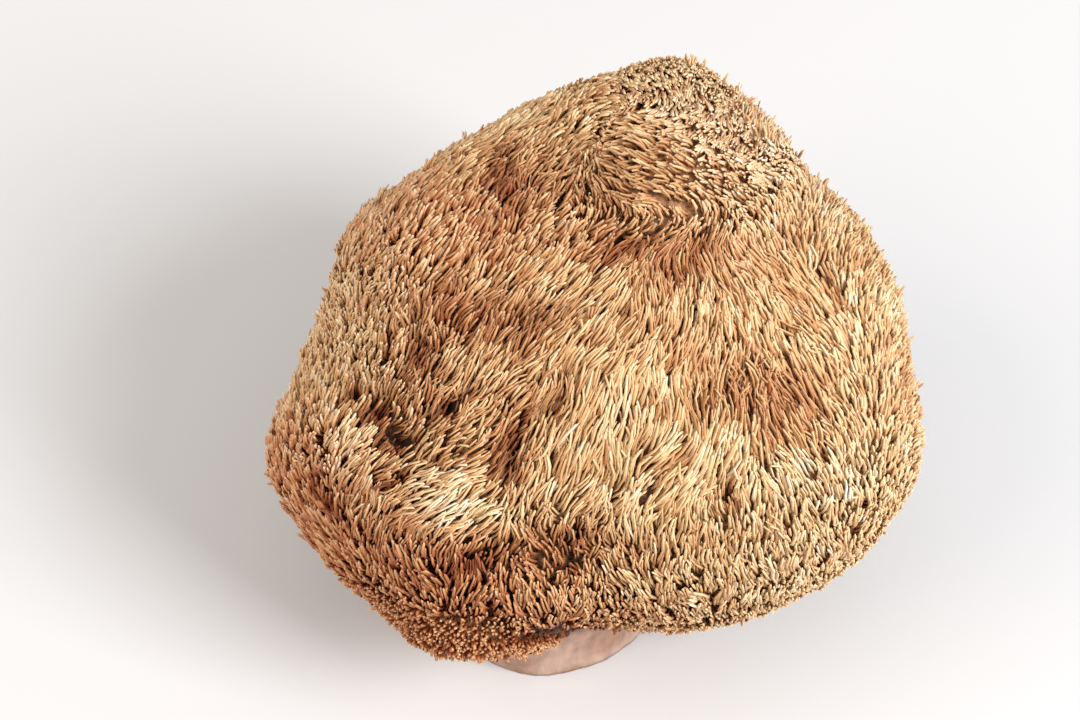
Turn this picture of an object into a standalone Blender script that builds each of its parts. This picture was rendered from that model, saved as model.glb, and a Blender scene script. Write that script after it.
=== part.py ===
"""A dried lion's mane mushroom: a cushion of flesh, wrapped in spines, cut off flat where it grew.

The row frame has its origin at the centre of the flat cut, with +Z up out of the cut. The broad
face of the cushion looks up and forwards, towards -Y. Lengths are in millimetres here, and the
mesh is scaled to metres at the end.

The cushion is drawn in the frame of its own face: x to the right, y up the face and z out of the
face. Its outline around the face, its depth in front and behind, and its lumps and hollows are
all given there, as the envelope that the tips of the spines reach.
"""

import math

import bmesh
import bpy
import numpy as np

# Driving dimensions
MM = 0.001
FACE_TILT = math.radians(52)  # how far the face looks up from the horizontal
CENTRE_HEIGHT = 40.0  # of the cushion's middle over the cut
# Distance from the middle to the spine tips, every 15 degrees, from +x anticlockwise
OUTLINE = (
    47.5, 46.8, 45.6, 43.0, 46.0, 49.2, 44.8, 42.0, 40.4, 41.0, 43.6, 42.4,
    45.0, 52.2, 50.8, 50.6, 51.6, 45.6, 39.5, 41.1, 44.1, 47.5, 49.9, 50.7,
)
FRONT_DEPTH = 33.0
BACK_DEPTH = 36.0
ROUNDNESS = 2.35  # exponent of the section: 2 is an ellipse, more is squarer
HALF_SIZES = (47.0, 44.0, 36.0)  # of a plain ellipsoid like the cushion, to spread the spikes over
SWELL = 0.55  # height of the broad waves over the whole cushion
UNDERSIDE_HEIGHT = 11.0
UNDERSIDE_SLOPE = 0.08
RIM_SHARPNESS = 12.0  # exponent that joins the cushion to its underside: more is sharper
STUB_SHARPNESS = 18.0  # and the underside to the stub
STUB_CENTRE = (-8.0, -8.5)
STUB_RADIUS = 20.5
STUB_FLARE = 0.12
STUB_TOP = 0.3  # steepness of the direction, as a sine, from which the stub's side counts
STUB_FADE = 0.25
SPINE_DEPTH = 4.2  # from the tips down to the flesh between the spikes
SPIKE_COUNT = 1480
RIM_HEIGHT = 16.0  # the spikes stand straight at the underside, and lean fully this far above it
SPIKE_LEAN = 0.68  # sideways reach of a tip towards the crown, as a share of its height
CROWN = np.array((13.0, 40.0, 12.0))  # face frame: where the combed spines point to
SEED = 11

# Lumps and hollows of the face: x, y, half-length, half-width, turn in degrees, height
RELIEF = (
    (12.5, 28.0, 9.0, 6.0, 0, 3.4),  # mound under the crown
    (9.0, 18.0, 9.0, 3.0, 4, -2.4),  # fold below the mound
    (-12.0, 28.0, 6.5, 5.0, 30, -1.8),
    (-12.0, 8.0, 9.0, 3.4, 12, -2.0),
    (-31.0, -7.0, 7.0, 3.6, -55, -2.6),  # groove at the left
    (-13.8, -11.5, 2.6, 6.0, -10, -1.6),
    (-23.0, -20.5, 5.5, 4.0, 20, 2.4),  # pale lump
    (23.0, -1.5, 7.0, 6.0, 0, -1.4),
    (7.0, -8.0, 11.0, 9.0, 0, 1.6),
    (-2.5, -28.0, 8.0, 3.6, -15, -1.4),
    (-8.0, -39.0, 18.0, 2.6, -5, -1.3),  # crease along the lower rim
)
STUB_RING = 36
RING_HEIGHT = 4.0  # of the upper ring of points on the stub
PITCH = 4.0  # wanted distance between neighbouring spikes
PUSH_REACH = 1.35 * PITCH  # spikes nearer than this push each other away
PUSH = 0.22
ROUNDS = 24  # of pushing


def unit(vectors):
    """The vectors, each scaled to length one."""
    return vectors / np.linalg.norm(vectors, axis=-1, keepdims=True)


def to_face(rows):
    """Row-frame directions in the frame of the face."""
    c, s = math.cos(FACE_TILT), math.sin(FACE_TILT)
    x, y, z = rows.T
    return np.stack((x, y * s + z * c, z * s - y * c), axis=1)


def to_row(faces):
    """Face-frame directions in the row frame."""
    c, s = math.cos(FACE_TILT), math.sin(FACE_TILT)
    x, y, z = faces.T
    return np.stack((x, y * s - z * c, y * c + z * s), axis=1)


def outline_radius(angle):
    """OUTLINE read at any angle, on a smooth closed curve through its values."""
    radii = np.array(OUTLINE)
    place = np.mod(angle / (2 * math.pi) * len(radii), len(radii))
    low = np.floor(place).astype(int)
    t = place - low
    before, a, b, after = (radii[(low + k) % len(radii)] for k in (-1, 0, 1, 2))
    slope_a, slope_b = (b - before) / 2, (after - a) / 2
    swing = 3 * (b - a) - 2 * slope_a - slope_b
    return a + slope_a * t + swing * t**2 + (slope_a + slope_b - 2 * (b - a)) * t**3


def relief(points):
    """Height of the lumps and hollows at points on the front of the cushion, in the face frame."""
    x, y, z = points.T
    total = np.zeros(len(points))
    for cx, cy, long_side, short_side, turn, height in RELIEF:
        c, s = math.cos(math.radians(turn)), math.sin(math.radians(turn))
        along = ((x - cx) * c + (y - cy) * s) / long_side
        across = ((y - cy) * c - (x - cx) * s) / short_side
        total += height * np.exp(-(along**2 + across**2) / 2)
    front = np.clip(z / 12 + 0.4, 0, 1)
    swell = np.sin(x / 9 + 1.0) * np.sin(y / 8 + 0.4) + np.sin(z / 7 + x / 11)
    return total * front + SWELL * swell


def envelope_radius(ways):
    """Distance from the middle of the cushion to the spine tips, along each row-frame direction."""
    faces = to_face(ways)
    spread = np.hypot(faces[:, 0], faces[:, 1])
    side = outline_radius(np.arctan2(faces[:, 1], faces[:, 0]))
    depth = np.where(faces[:, 2] > 0, FRONT_DEPTH, BACK_DEPTH)
    section = (spread / side) ** ROUNDNESS + (np.abs(faces[:, 2]) / depth) ** ROUNDNESS
    cushion = section ** (-1 / ROUNDNESS)
    cushion = cushion + relief(cushion[:, None] * faces)

    down = -ways[:, 2]
    out = np.sqrt(np.maximum(1 - down**2, 1e-9))
    floor = np.maximum(down + UNDERSIDE_SLOPE * out, 0) / (CENTRE_HEIGHT - UNDERSIDE_HEIGHT)
    body = (cushion**-RIM_SHARPNESS + floor**RIM_SHARPNESS) ** (-1 / RIM_SHARPNESS)

    reach = stub_reach(np.arctan2(ways[:, 1], ways[:, 0]))
    wall = (reach + STUB_FLARE * CENTRE_HEIGHT) / np.maximum(out + STUB_FLARE * down, 0.05)
    wall = wall * np.clip((down - STUB_TOP) / STUB_FADE, 0.02, 1)
    stub = np.minimum(wall, 1.5 * CENTRE_HEIGHT)
    whole = (body**STUB_SHARPNESS + stub**STUB_SHARPNESS) ** (1 / STUB_SHARPNESS)
    cut = CENTRE_HEIGHT / np.maximum(down, 1e-3)
    return np.minimum(whole, cut)


def stub_reach(azimuth):
    """From the middle of the cushion, how far the edge of the cut lies at each azimuth."""
    cx, cy = STUB_CENTRE
    along = cx * np.cos(azimuth) + cy * np.sin(azimuth)
    across = cy * np.cos(azimuth) - cx * np.sin(azimuth)
    turn = azimuth + np.arcsin(across / STUB_RADIUS)
    radius = STUB_RADIUS * (1 + 0.035 * np.sin(2 * turn + 0.5) + 0.02 * np.sin(5 * turn))
    return along + np.sqrt(radius**2 - across**2)


def spine_share(ways):
    """How much of the full spine depth grows along each direction: none on the bare stub."""
    down = -ways[:, 2]
    out = np.sqrt(np.maximum(1 - down**2, 1e-9))
    reach = stub_reach(np.arctan2(ways[:, 1], ways[:, 0]))
    height = CENTRE_HEIGHT - down * envelope_radius(ways)
    beyond = envelope_radius(ways) * out - reach
    above = np.maximum(height - UNDERSIDE_HEIGHT - 2.0, 0)
    return np.clip((beyond - 2.5 + above) / 8.0, 0, 1)


def surface(ways, sunk=0.0):
    """Points at the envelope, or sunk below it by this share of the spine depth."""
    depth = sunk * SPINE_DEPTH * spine_share(ways)
    return (envelope_radius(ways) - depth)[:, None] * ways


def stub_rings():
    """Directions of the fixed points on the stub: the edge of the cut, then a ring up its side."""
    azimuth = np.arange(STUB_RING) / STUB_RING * 2 * math.pi
    reach = stub_reach(azimuth)
    rings = []
    for height, turn in ((0.0, 0.0), (RING_HEIGHT, math.pi / STUB_RING)):
        turned = azimuth + turn
        radius = reach + height * STUB_FLARE
        drop = np.full(STUB_RING, height - CENTRE_HEIGHT)
        rings.append(np.stack((radius * np.cos(turned), radius * np.sin(turned), drop), axis=1))
    return [unit(ring) for ring in rings]


def spike_ways(fixed):
    """Directions of the spikes, spread evenly over the cushion outside the fixed points."""
    index = np.arange(SPIKE_COUNT * 13 // 12)
    height = 1 - (2 * index + 1) / len(index)
    turn = index * math.pi * (3 - math.sqrt(5))
    round_ways = np.stack(
        (np.sqrt(1 - height**2) * np.cos(turn), np.sqrt(1 - height**2) * np.sin(turn), height), axis=1
    )
    ways = unit(to_row(round_ways * HALF_SIZES))
    rng = np.random.default_rng(SEED)
    ways = unit(ways + rng.normal(0, 0.012, ways.shape))
    held = surface(fixed[1])
    ways = ways[clear_of_stub(ways, 1.5)]
    for _ in range(ROUNDS):
        points = surface(ways)
        push = repulsion(points, points) + repulsion(points, held)
        moved = unit(points + push)
        stays = clear_of_stub(moved, 2.0)
        ways = np.where(stays[:, None], moved, ways)
    return ways


def clear_of_stub(ways, margin):
    """Whether each direction meets the cushion outside the stub's side by this margin."""
    points = surface(ways)
    reach = stub_reach(np.arctan2(points[:, 1], points[:, 0]))
    spread = np.hypot(points[:, 0], points[:, 1])
    low = points[:, 2] < UNDERSIDE_HEIGHT - CENTRE_HEIGHT + 4
    return ~(low & (spread < reach + margin))


def repulsion(points, others):
    """A push on each point away from others nearer than the wanted pitch."""
    apart = points[:, None, :] - others[None, :, :]
    distance = np.linalg.norm(apart, axis=2)
    near = (distance > 1e-6) & (distance < PUSH_REACH)
    strength = np.where(near, (PUSH_REACH - distance) / np.maximum(distance, 1e-6), 0)
    return PUSH * (apart * strength[:, :, None]).sum(axis=1)


def comb(points, normals):
    """The way a spike leans: along the surface, towards the crown."""
    towards = to_row(CROWN[None, :])[0] - points
    along = towards - (towards * normals).sum(axis=1, keepdims=True) * normals
    reach = np.linalg.norm(along, axis=1, keepdims=True)
    return along / np.maximum(reach, 8.0)


def normals_of(ways):
    """Outward normals of the envelope, from three nearby points."""
    step = 0.05
    side = unit(np.cross(ways, (0.3, 0.9, 0.2)))
    up = np.cross(ways, side)
    here = surface(ways)
    a = surface(unit(ways + step * side)) - here
    b = surface(unit(ways + step * up)) - here
    normal = unit(np.cross(a, b))
    return normal * np.sign((normal * ways).sum(axis=1, keepdims=True))


def spike_tips(ways):
    """Tip points: out from the flesh to the envelope, and leaning towards the crown."""
    share = spine_share(ways)[:, None]
    roots = surface(ways, sunk=1.0)
    normals = normals_of(ways)
    height = roots[:, 2] + CENTRE_HEIGHT
    raised = np.clip((height - UNDERSIDE_HEIGHT) / RIM_HEIGHT, 0.15, 1)
    lean = comb(roots, normals) * SPIKE_LEAN * raised[:, None]
    return roots + SPINE_DEPTH * share * (normals + lean) * 0.98


def hull_faces(ways):
    """Triangles over the directions, as the hull of their points on a unit ball."""
    mesh = bmesh.new()
    for number, way in enumerate(ways):
        mesh.verts.new(way).index = number
    mesh.verts.ensure_lookup_table()
    bmesh.ops.convex_hull(mesh, input=list(mesh.verts))
    bmesh.ops.triangulate(mesh, faces=list(mesh.faces))
    mesh.verts.ensure_lookup_table()
    faces = [tuple(vertex.index for vertex in face.verts) for face in mesh.faces]
    mesh.free()
    corners = ways[np.array(faces)]
    outward = np.einsum("ij,ij->i", np.cross(corners[:, 1], corners[:, 2]), corners[:, 0]) > 0
    return [face if out else face[::-1] for face, out in zip(faces, outward)]


def spiky_faces(faces, spiny, first_new):
    """Splits each face at a new middle point, so that every spiny point stands in a ring of them.

    An edge between two spiny points is turned to join the two middles beside it. A face with no
    spiny point stays whole.
    """
    split = [any(spiny[corner] for corner in face) for face in faces]
    middles = {}
    for number, face in enumerate(faces):
        if split[number]:
            middles[number] = first_new + len(middles)
    beside = {}
    for number, face in enumerate(faces):
        for a, b in zip(face, face[1:] + face[:1]):
            beside[a, b] = number
    made = [face for number, face in enumerate(faces) if not split[number]]
    for (a, b), number in beside.items():
        if number not in middles:
            continue
        other = beside[b, a]
        if spiny[a] and spiny[b]:
            made.append((a, middles[other], middles[number]))
        else:
            made.append((a, b, middles[number]))
    return made, sorted(middles, key=middles.get)


def body_mesh():
    """Points in the row frame, in millimetres, and triangles of the whole fruiting body."""
    fixed = stub_rings()
    spikes = spike_ways(fixed)
    ways = np.concatenate(fixed + [spikes])
    spiny = np.zeros(len(ways), bool)
    spiny[2 * STUB_RING:] = spine_share(spikes) > 0.15
    faces = hull_faces(ways)
    made, split = spiky_faces(faces, spiny, len(ways))
    middle_ways = unit(ways[np.array([faces[number] for number in split])].mean(axis=1))
    points = surface(ways)
    points[spiny] = spike_tips(ways[spiny])
    points = np.concatenate((points, surface(middle_ways, sunk=1.0)))
    points[:, 2] += CENTRE_HEIGHT
    points[:STUB_RING, 2] = 0.0
    points[:, :2] -= STUB_CENTRE
    return points, made


def dried_flesh():
    """Golden tan, rough and dry."""
    material = bpy.data.materials.new("dried_fungus")
    material.use_nodes = True
    shader = material.node_tree.nodes["Principled BSDF"]
    shader.inputs["Base Color"].default_value = (0.62, 0.40, 0.18, 1)
    shader.inputs["Roughness"].default_value = 0.8
    shader.inputs["Metallic"].default_value = 0.0
    return material


def clear_scene():
    for thing in list(bpy.data.objects):
        bpy.data.objects.remove(thing, do_unlink=True)


def build():
    clear_scene()
    points, faces = body_mesh()
    mesh = bpy.data.meshes.new("fruiting_body")
    mesh.from_pydata((points * MM).tolist(), [], faces)
    mesh.materials.append(dried_flesh())
    body = bpy.data.objects.new("fruiting_body", mesh)
    bpy.context.scene.collection.objects.link(body)


build()
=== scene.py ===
"""The looks of a dried lion's mane mushroom: its flesh, about thirty-seven thousand combed spines,
the bare stub, the pale floor, the light and the camera.

Lengths are in millimetres in the functions that make the form, and each mesh is scaled to metres
as it is made. The cushion is drawn in the frame of its own face, as in the solid model: x to the
right, y up the face and z out of the face, from the cushion's middle. The tables of strokes,
spots, holes and patches give x and y as the camera sees them, on the plane through that middle.
"""

import math

import bpy
import numpy as np
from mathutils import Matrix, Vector, kdtree


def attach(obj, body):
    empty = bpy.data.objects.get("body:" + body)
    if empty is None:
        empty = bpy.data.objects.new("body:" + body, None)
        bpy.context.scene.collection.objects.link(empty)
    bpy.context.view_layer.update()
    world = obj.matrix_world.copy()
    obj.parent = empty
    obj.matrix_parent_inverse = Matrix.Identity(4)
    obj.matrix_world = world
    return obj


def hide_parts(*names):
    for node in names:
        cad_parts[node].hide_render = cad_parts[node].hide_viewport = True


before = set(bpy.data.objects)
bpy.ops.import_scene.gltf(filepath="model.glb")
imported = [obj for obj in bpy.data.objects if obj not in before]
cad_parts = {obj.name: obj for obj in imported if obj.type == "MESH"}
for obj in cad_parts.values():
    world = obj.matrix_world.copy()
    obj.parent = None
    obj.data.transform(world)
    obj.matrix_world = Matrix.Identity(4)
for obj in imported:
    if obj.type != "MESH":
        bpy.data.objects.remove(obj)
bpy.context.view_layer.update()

# The form, as the solid model has it
MM = 0.001
FACE_TILT = math.radians(52)  # the face looks this far up from level
CENTRE_HEIGHT = 40.0  # of the cushion's middle over the cut
# Radii of the face's outline, every 15 degrees from +x
OUTLINE = (
    47.5, 46.8, 45.6, 43.0, 46.0, 49.2, 44.8, 42.0, 40.4, 41.0, 43.6, 42.4,
    45.0, 52.2, 50.8, 50.6, 51.6, 45.6, 39.5, 41.1, 44.1, 47.5, 49.9, 50.7,
)
FRONT_DEPTH = 33.0
BACK_DEPTH = 36.0
ROUNDNESS = 2.35
SWELL_HEIGHT = 0.55
UNDERSIDE_HEIGHT = 11.0
UNDERSIDE_SLOPE = 0.08
RIM_SHARPNESS = 12.0  # of the turn from the sides to the underside
STUB_CENTRE = (-8.0, -8.5)
STUB_RADIUS = 20.5
STUB_FLARE = 0.12
STUB_SHARPNESS = 18.0  # of the corner between the stub and the underside
CROWN = np.array((13.0, 40.0, 12.0))
# Lumps and hollows of the face: x, y, half-length, half-width, turn in degrees, height
RELIEF = (
    (12.5, 28.0, 9.0, 6.0, 0, 3.4),
    (9.0, 18.0, 9.0, 3.0, 4, -2.4),
    (-12.0, 28.0, 6.5, 5.0, 30, -1.8),
    (-12.0, 8.0, 9.0, 3.4, 12, -2.0),
    (-31.0, -7.0, 7.0, 3.6, -55, -2.6),
    (-13.8, -11.5, 2.6, 6.0, -10, -1.6),
    (-23.0, -20.5, 5.5, 4.0, 20, 2.4),
    (23.0, -1.5, 7.0, 6.0, 0, -1.4),
    (7.0, -8.0, 11.0, 9.0, 0, 1.6),
    (-2.5, -28.0, 8.0, 3.6, -15, -1.4),
    (-8.0, -39.0, 18.0, 2.6, -5, -1.3),
)

CAMERA_DISTANCE = 390.0
CAMERA_OFFSET = (-9.18, 1.53)  # face frame: where the middle of the picture lies
LENS = 85.0
SENSOR_WIDTH = 36.0

# The spines
SEED = 7
CUSHION_AREA = 20500.0  # square millimetres
HEXAGON_SHARE = 0.866  # area that a spine takes, in squares of the pitch, when evenly spread
BALL_SIZE = (47.0, 44.0, 36.0)  # half-axes in the face frame of a ball about like the cushion
SPREADING_ROUNDS = 5
NEIGHBOURS = 6
FINEST_PITCH = 0.66  # between the spines of the upper face
BACK_PITCH = 1.0
LOBE_PITCH = 0.80  # on the broad lobe in the middle of the face
RIM_PITCH = 0.72  # along the lower rim
FACE_WIDTH = 0.45
BACK_WIDTH = 0.58
LOBE_WIDTH = 0.58
RIM_WIDTH = 0.48
TAPER = ((0, 0.5, 0.9, 1), (0.95, 1, 0.86, 0.6))  # places along a spine, and the width there
CORNER_SHARE = 0.55  # from a spine's middle line to its corners, in widths
SIDES = 3
BARE_BELT = 2.5  # from the stub out to the first spines
BARE_HEIGHT = 2.0  # over the underside, from where spines also grow close to the stub
ONSET = 8.0  # from the first spines to those of the full depth
FLESH_DEPTH = 2.2  # from the tips down to the flesh
ROOT_DEPTH = 2.7  # the spines start inside the flesh
LONGEST_REACH = 6.0  # of spines that lie flat
LEAST_SQUARE = 0.35  # surfaces that turn further from the viewer are combed as if they didn't
TOP_DIP = 1.6
LOCK_SIZE = 4.5  # spines in a lock, on average
EMPTY_DEPTH = (2.0, 4.0)  # holes this deep begin to lose their spines, and have none
STRAY_SHARE = 0.03
WHISKER_SHARE = 0.12
WHISKER_CORNER = (13, -4)  # the whiskers stand right of this place and above it
LAID_BACK = -0.2  # lift of the tips on the edge that are no whiskers
STEEP_START = 5.5  # how fast a long spine leaves its root
SOFT_START = 3.2  # the same for a short spine
STRIDE_POWER = 1.35  # a spine runs along the surface slowly at its root, then faster
PULL_POWER = 1.3  # the spines of a lock draw together most at their tips
ENDLESS = 99.0
RING_SETS = (  # least reach, and the places of the rings along such a spine
    (3.9, (0.0, 0.17, 0.40, 0.68, 0.94)),
    (1.8, (0.0, 0.25, 0.60, 0.93)),
    (-9.0, (0.0, 0.50, 0.92)),
)
SECTORS = ("front", "right", "back_right", "back_left", "left")
FIRST_SECTOR = math.radians(126)  # clockwise from +x to where the front sector starts
CELL_MARGIN = 0.06  # around each spine's place in the UV map
CAP_SHARE = 0.1  # of the height of that place, for the closed root

# Combed strokes of the face: x, y, direction in degrees from +x, and how far along the surface
# the spines reach, up to about 6 where they lie flat. Where they reach less than 1 they point to
# the viewer, and the direction has no effect.
STROKE_SIZE = 3.0
STROKES = (
    (-38, 24, 42, 1.9), (-31, 27, 36, 2.5), (-23, 31, 34, 2.5), (-15, 36, 31, 2.3),
    (-34, 19, 52, 2.0), (-6, 32, 46, 3.0), (-12, 28, 50, 3.0), (-18, 21, 52, 2.7),
    (-27, 20, 45, 2.3), (-9, 37, 34, 2.5), (-33, 12, 55, 2.4), (-41, 8, 66, 1.7),
    (-28, 6, 66, 3.0), (-20, 11, 52, 3.6), (-38, 0, 60, 2.2), (-9, 9, 44, 4.2), (0, 11, 46, 4.2),
    (-6, 20, 50, 2.8), (4, 20, 40, 2.7), (11, 21, 36, 2.7), (17, 22, 36, 2.3), (9, 12, 92, 4.0),
    (15, 17, 96, 3.1), (19, 12, 100, 4.0), (22, 15, 128, 3.4), (26, 16, 125, 3.7),
    (31, 15, 126, 3.9), (36, 11, 128, 4.4), (38, 18, 104, 2.4), (42, 12, 90, 2.0),
    (25, 26, 118, 2.2), (31, 24, 112, 2.2), (24, 10, 102, 3.8), (31, 8, 122, 5.2),
    (34, 6, 128, 5.2), (37, 4, 125, 5.0), (41, 6, 118, 3.4), (45, 3, 88, 1.9), (27, 4, 122, 4.6),
    (20, 4, 100, 4.6), (31, 0, 118, 5.0), (36, -1, 124, 5.0), (40, -2, 117, 3.8),
    (46, -3, 86, 1.8), (23, 3, 95, 4.0), (-8, 3, 42, 4.4), (3, 3, 50, 5.0), (11, 5, 72, 5.0),
    (-26, -5, 60, 3.2), (-18, -3, 52, 3.8), (-6, -5, 64, 5.2), (3, -6, 88, 6.0),
    (12, -6, 95, 6.2), (18, -8, 92, 5.6), (22, -9, 102, 4.4), (24, -4, 104, 3.8),
    (29, -12, 122, 4.8), (34, -9, 120, 4.8), (38, -8, 118, 4.4), (42, -9, 108, 3.0),
    (47, -9, 84, 1.5), (-38, -11, 56, 2.9), (-46, -11, 70, 1.7), (-30, -12, 40, 3.6),
    (-26, -12, 48, 3.6), (-20, -12, 50, 3.8), (-15, -12, 52, 3.4), (-24, -15, 14, 4.2),
    (-18, -15, 18, 4.2), (-31, -15, 20, 3.4), (-13, -17, 70, 5.0), (-10, -17, 68, 5.4),
    (-8, -17, 82, 5.6), (-5, -17, 48, 5.2), (-1, -14, 90, 6.0), (2, -14, 93, 6.0),
    (12, -15, 44, 6.0), (9, -18, 46, 6.0), (15, -12, 66, 5.0), (8, -12, 52, 5.4),
    (21, -15, 66, 4.8), (26, -15, 108, 4.4), (30, -17, 116, 4.6), (36, -17, 116, 4.2),
    (41, -17, 106, 2.8), (46, -15, 86, 1.6), (-46, -18, 108, 2.8), (-38, -21, 66, 3.6),
    (-35, -20, 58, 3.7), (-26, -20, 12, 5.2), (-22, -19, 24, 4.6), (-19, -23, 28, 4.0),
    (-21, -26, 45, 3.6), (-18, -26, 60, 3.0), (-12, -21, 72, 4.6), (-6, -20, 96, 4.6),
    (-2, -20, 42, 4.0), (0, -23, -5, 3.0), (-12, -25, 82, 2.8), (-7, -25, 100, 3.0),
    (-4, -26, 110, 2.8), (1, -26, 106, 3.8), (5, -26, 110, 4.0), (9, -23, 42, 4.0),
    (12, -25, 92, 4.0), (15, -25, 100, 4.0), (18, -26, 105, 3.8), (23, -25, 96, 3.4),
    (28, -23, 112, 3.4), (31, -25, 114, 3.4), (35, -23, 110, 2.8), (40, -23, 90, 1.6),
    (8, -29, 105, 3.7), (14, -29, 90, 3.5), (20, -29, 105, 3.5), (25, -29, 100, 3.3),
    (29, -29, 105, 3.1), (34, -29, 105, 2.3), (-32, -25, 60, 3.6), (-31, -29, 86, 3.1),
    (-26, -32, 95, 3.3), (-28, -35, 96, 2.4), (-31, -34, 112, 2.2), (-23, -32, 86, 3.3),
    (-20, -32, 72, 3.1), (-15, -31, 108, 2.9), (-17, -35, 90, 2.4), (-12, -33, 124, 2.9),
    (-9, -33, 125, 3.0), (-6, -31, 114, 2.8), (0, -35, 82, 2.2), (-5, -35, 88, 2.3),
    (3, -32, 124, 3.0), (9, -34, 115, 2.7), (15, -34, 118, 2.5), (21, -34, 96, 2.4),
    (27, -34, 108, 1.9), (32, -34, 100, 0.8), (-15, -35, 86, 2.3), (-18, -38, 80, 1.8),
    (-23, -35, 100, 2.4), (-31, -37, 112, 1.9), (-26, -41, 122, 1.0), (-13, -42, 90, 0.9),
    (-4, -42, 90, 0.9), (3, -38, 90, 1.0), (15, -37, 118, 1.7), (5, 37, 178, 2.2),
    (9, 37, 175, 2.2), (6, 33, 182, 2.5), (13, 34, 172, 2.2), (9, 31, 172, 2.3),
    (14, 30, 162, 2.3), (6, 28, 178, 2.2), (9, 27, 152, 2.5), (14, 26, 142, 2.5),
    (18, 27, 134, 2.2), (0, 34, 100, 0.6), (1, 29, 110, 1.1), (-1, 41, 14, 1.6),
    (5, 43, 90, 0.7), (14, 40, 70, 0.6), (18, 36, 110, 0.6), (20, 41, 60, 0.7),
    (19, 31, 130, 1.4), (24, 36, 62, 0.6), (27, 40, 58, 1.0), (31, 31, 62, 0.7),
    (36, 26, 68, 1.0), (41, 17, 76, 1.4), (8, 46, 90, 0.7), (-6, 41, 32, 1.4), (1, 44, 90, 0.7),
    (4, 46, 90, 0.7), (12, 46, 90, 0.7), (20, 34, 90, 0.6), (21, 28, 90, 0.8), (11, 42, 90, 0.6),
    (8, 44, 90, 0.6), (16, 45, 60, 0.8), (12, 41, 90, 0.6), (15, 38, 90, 0.6), (18, 37, 90, 0.6),
    (21, 33, 90, 0.6), (24, 31, 90, 0.6), (28, 28, 90, 0.7), (-49, -13, 96, 2.6),
    (-44, -24, 122, 3.2), (-40, -29, 124, 3.2), (-37, -33, 120, 2.6), (-32, 29.5, 40, 0.7),
    (-26.5, 32.5, 40, 0.7), (-21.5, 35.5, 40, 0.7), (-16.5, 38.5, 40, 0.7),
    (-11.5, 41.5, 40, 0.7),
)

# Spots of the face: x, y, half their length along x, and half their width along y
MOUND = (8.0, 31.0, 10.0, 8.0)
WHORL = (-21.0, -21.0, 6.0, 4.5)
LOBE = (8.0, -9.0, 15.0, 11.0)
TOP = (13.0, 47.0, 9.0, 4.0)
FINE_CROWN = (12.0, 34.0, 12.0, 9.0)
CALM = (26.0, -22.0, 14.0, 12.0)  # the combing sways little
# Painted light: here the painted shade at the spines' roots is lifted, where the light falls
# brightest on the crown
LIT_ROOTS = (20.0, 35.0, 10.0, 9.0)
TOUSLED = ((23, -3, 5, 5), (-26, 0, 6, 7), (-12, 29, 6, 4), (-5, -29, 8, 4))
# Spots with a turn in degrees at the end
END_ON_BANDS = ((14.0, 39.0, 9.0, 3.0, -40), (7.0, 44.0, 6.0, 2.5, 15))
# Spots with, in front, their height or the strength of their painted highlight on the tips
PAINTED_TIP_HIGHLIGHT_LEFT = ((1.0, -42.0, 0.0, 9.0, 16.0), (0.4, -24.0, 22.0, 16.0, 9.0))
PAINTED_TIP_HIGHLIGHT_SPOTS = ((0.28, 16.0, 39.0, 10.0, 8.0), (0.2, -37.0, 0.0, 6.0, 6.0))
RAISED_FLESH = (
    (0.8, 44.0, 2.0, 14.0, 26.0),
    (1.5, 18.0, 39.0, 8.0, 7.0),
    (0.6, 30.0, -30.0, 18.0, 8.0),
)
# Edge of the fine-grained lip under the lower rim: x, y
LIP_EDGE = (
    (-40.0, -31.0), (-30.6, -35.5), (-12.2, -41.0), (6.1, -38.6), (14.0, -39.5), (30.0, -40.0),
)
# Holes and gaps between the locks of spines: x, y, half-length, half-width, turn in degrees, depth
HOLES = (
    (-34.2, -6.6, 1.2, 0.6, -50, 2.6),
    (-32.3, -9.8, 1.0, 0.5, -60, 2.1),
    (-30.6, -11.6, 1.1, 0.65, -50, 2.3),
    (-37.9, -3.8, 0.9, 0.5, -40, 1.8),
    (-43.8, -17.7, 0.5, 0.9, 0, 1.6),
    (-41.5, -20.3, 0.6, 0.9, 20, 1.6),
    (-32.1, -17.3, 0.9, 0.5, 10, 1.6),
    (-13.5, -12.0, 0.6, 3.0, -8, 1.3),
    (-6.0, -4.0, 0.7, 1.2, 0, 1.6),
    (4.0, 9.0, 0.7, 0.8, 0, 1.5),
    (13.8, -12.5, 0.8, 1.0, 0, 1.5),
    (-23.6, -5.7, 0.75, 0.75, 0, 3.4),
    (-25.0, -13.4, 1.0, 0.6, 20, 1.3),
    (-5.8, -12.0, 0.5, 1.4, 0, 1.1),
    (-3.5, -25.5, 1.2, 0.6, 30, 1.2),
    (-4.3, -29.8, 0.6, 0.6, 0, 2.0),
    (-28.0, 2.0, 0.8, 1.2, 0, 1.2),
    (-15.0, 29.0, 0.8, 3.0, 20, 0.9),
    (16.0, 19.5, 2.4, 0.7, 30, 0.8),
    (4.5, 19.0, 2.6, 0.7, 15, 0.8),
    (-6.0, -40.8, 4.5, 0.4, 7, 2.5),
    (20.0, -20.0, 0.9, 0.7, 0, 1.1),
    (35.0, 14.0, 0.6, 2.0, 20, 1.0),
    (-19.5, -29.5, 2.6, 0.7, 20, 1.0),
)
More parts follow.
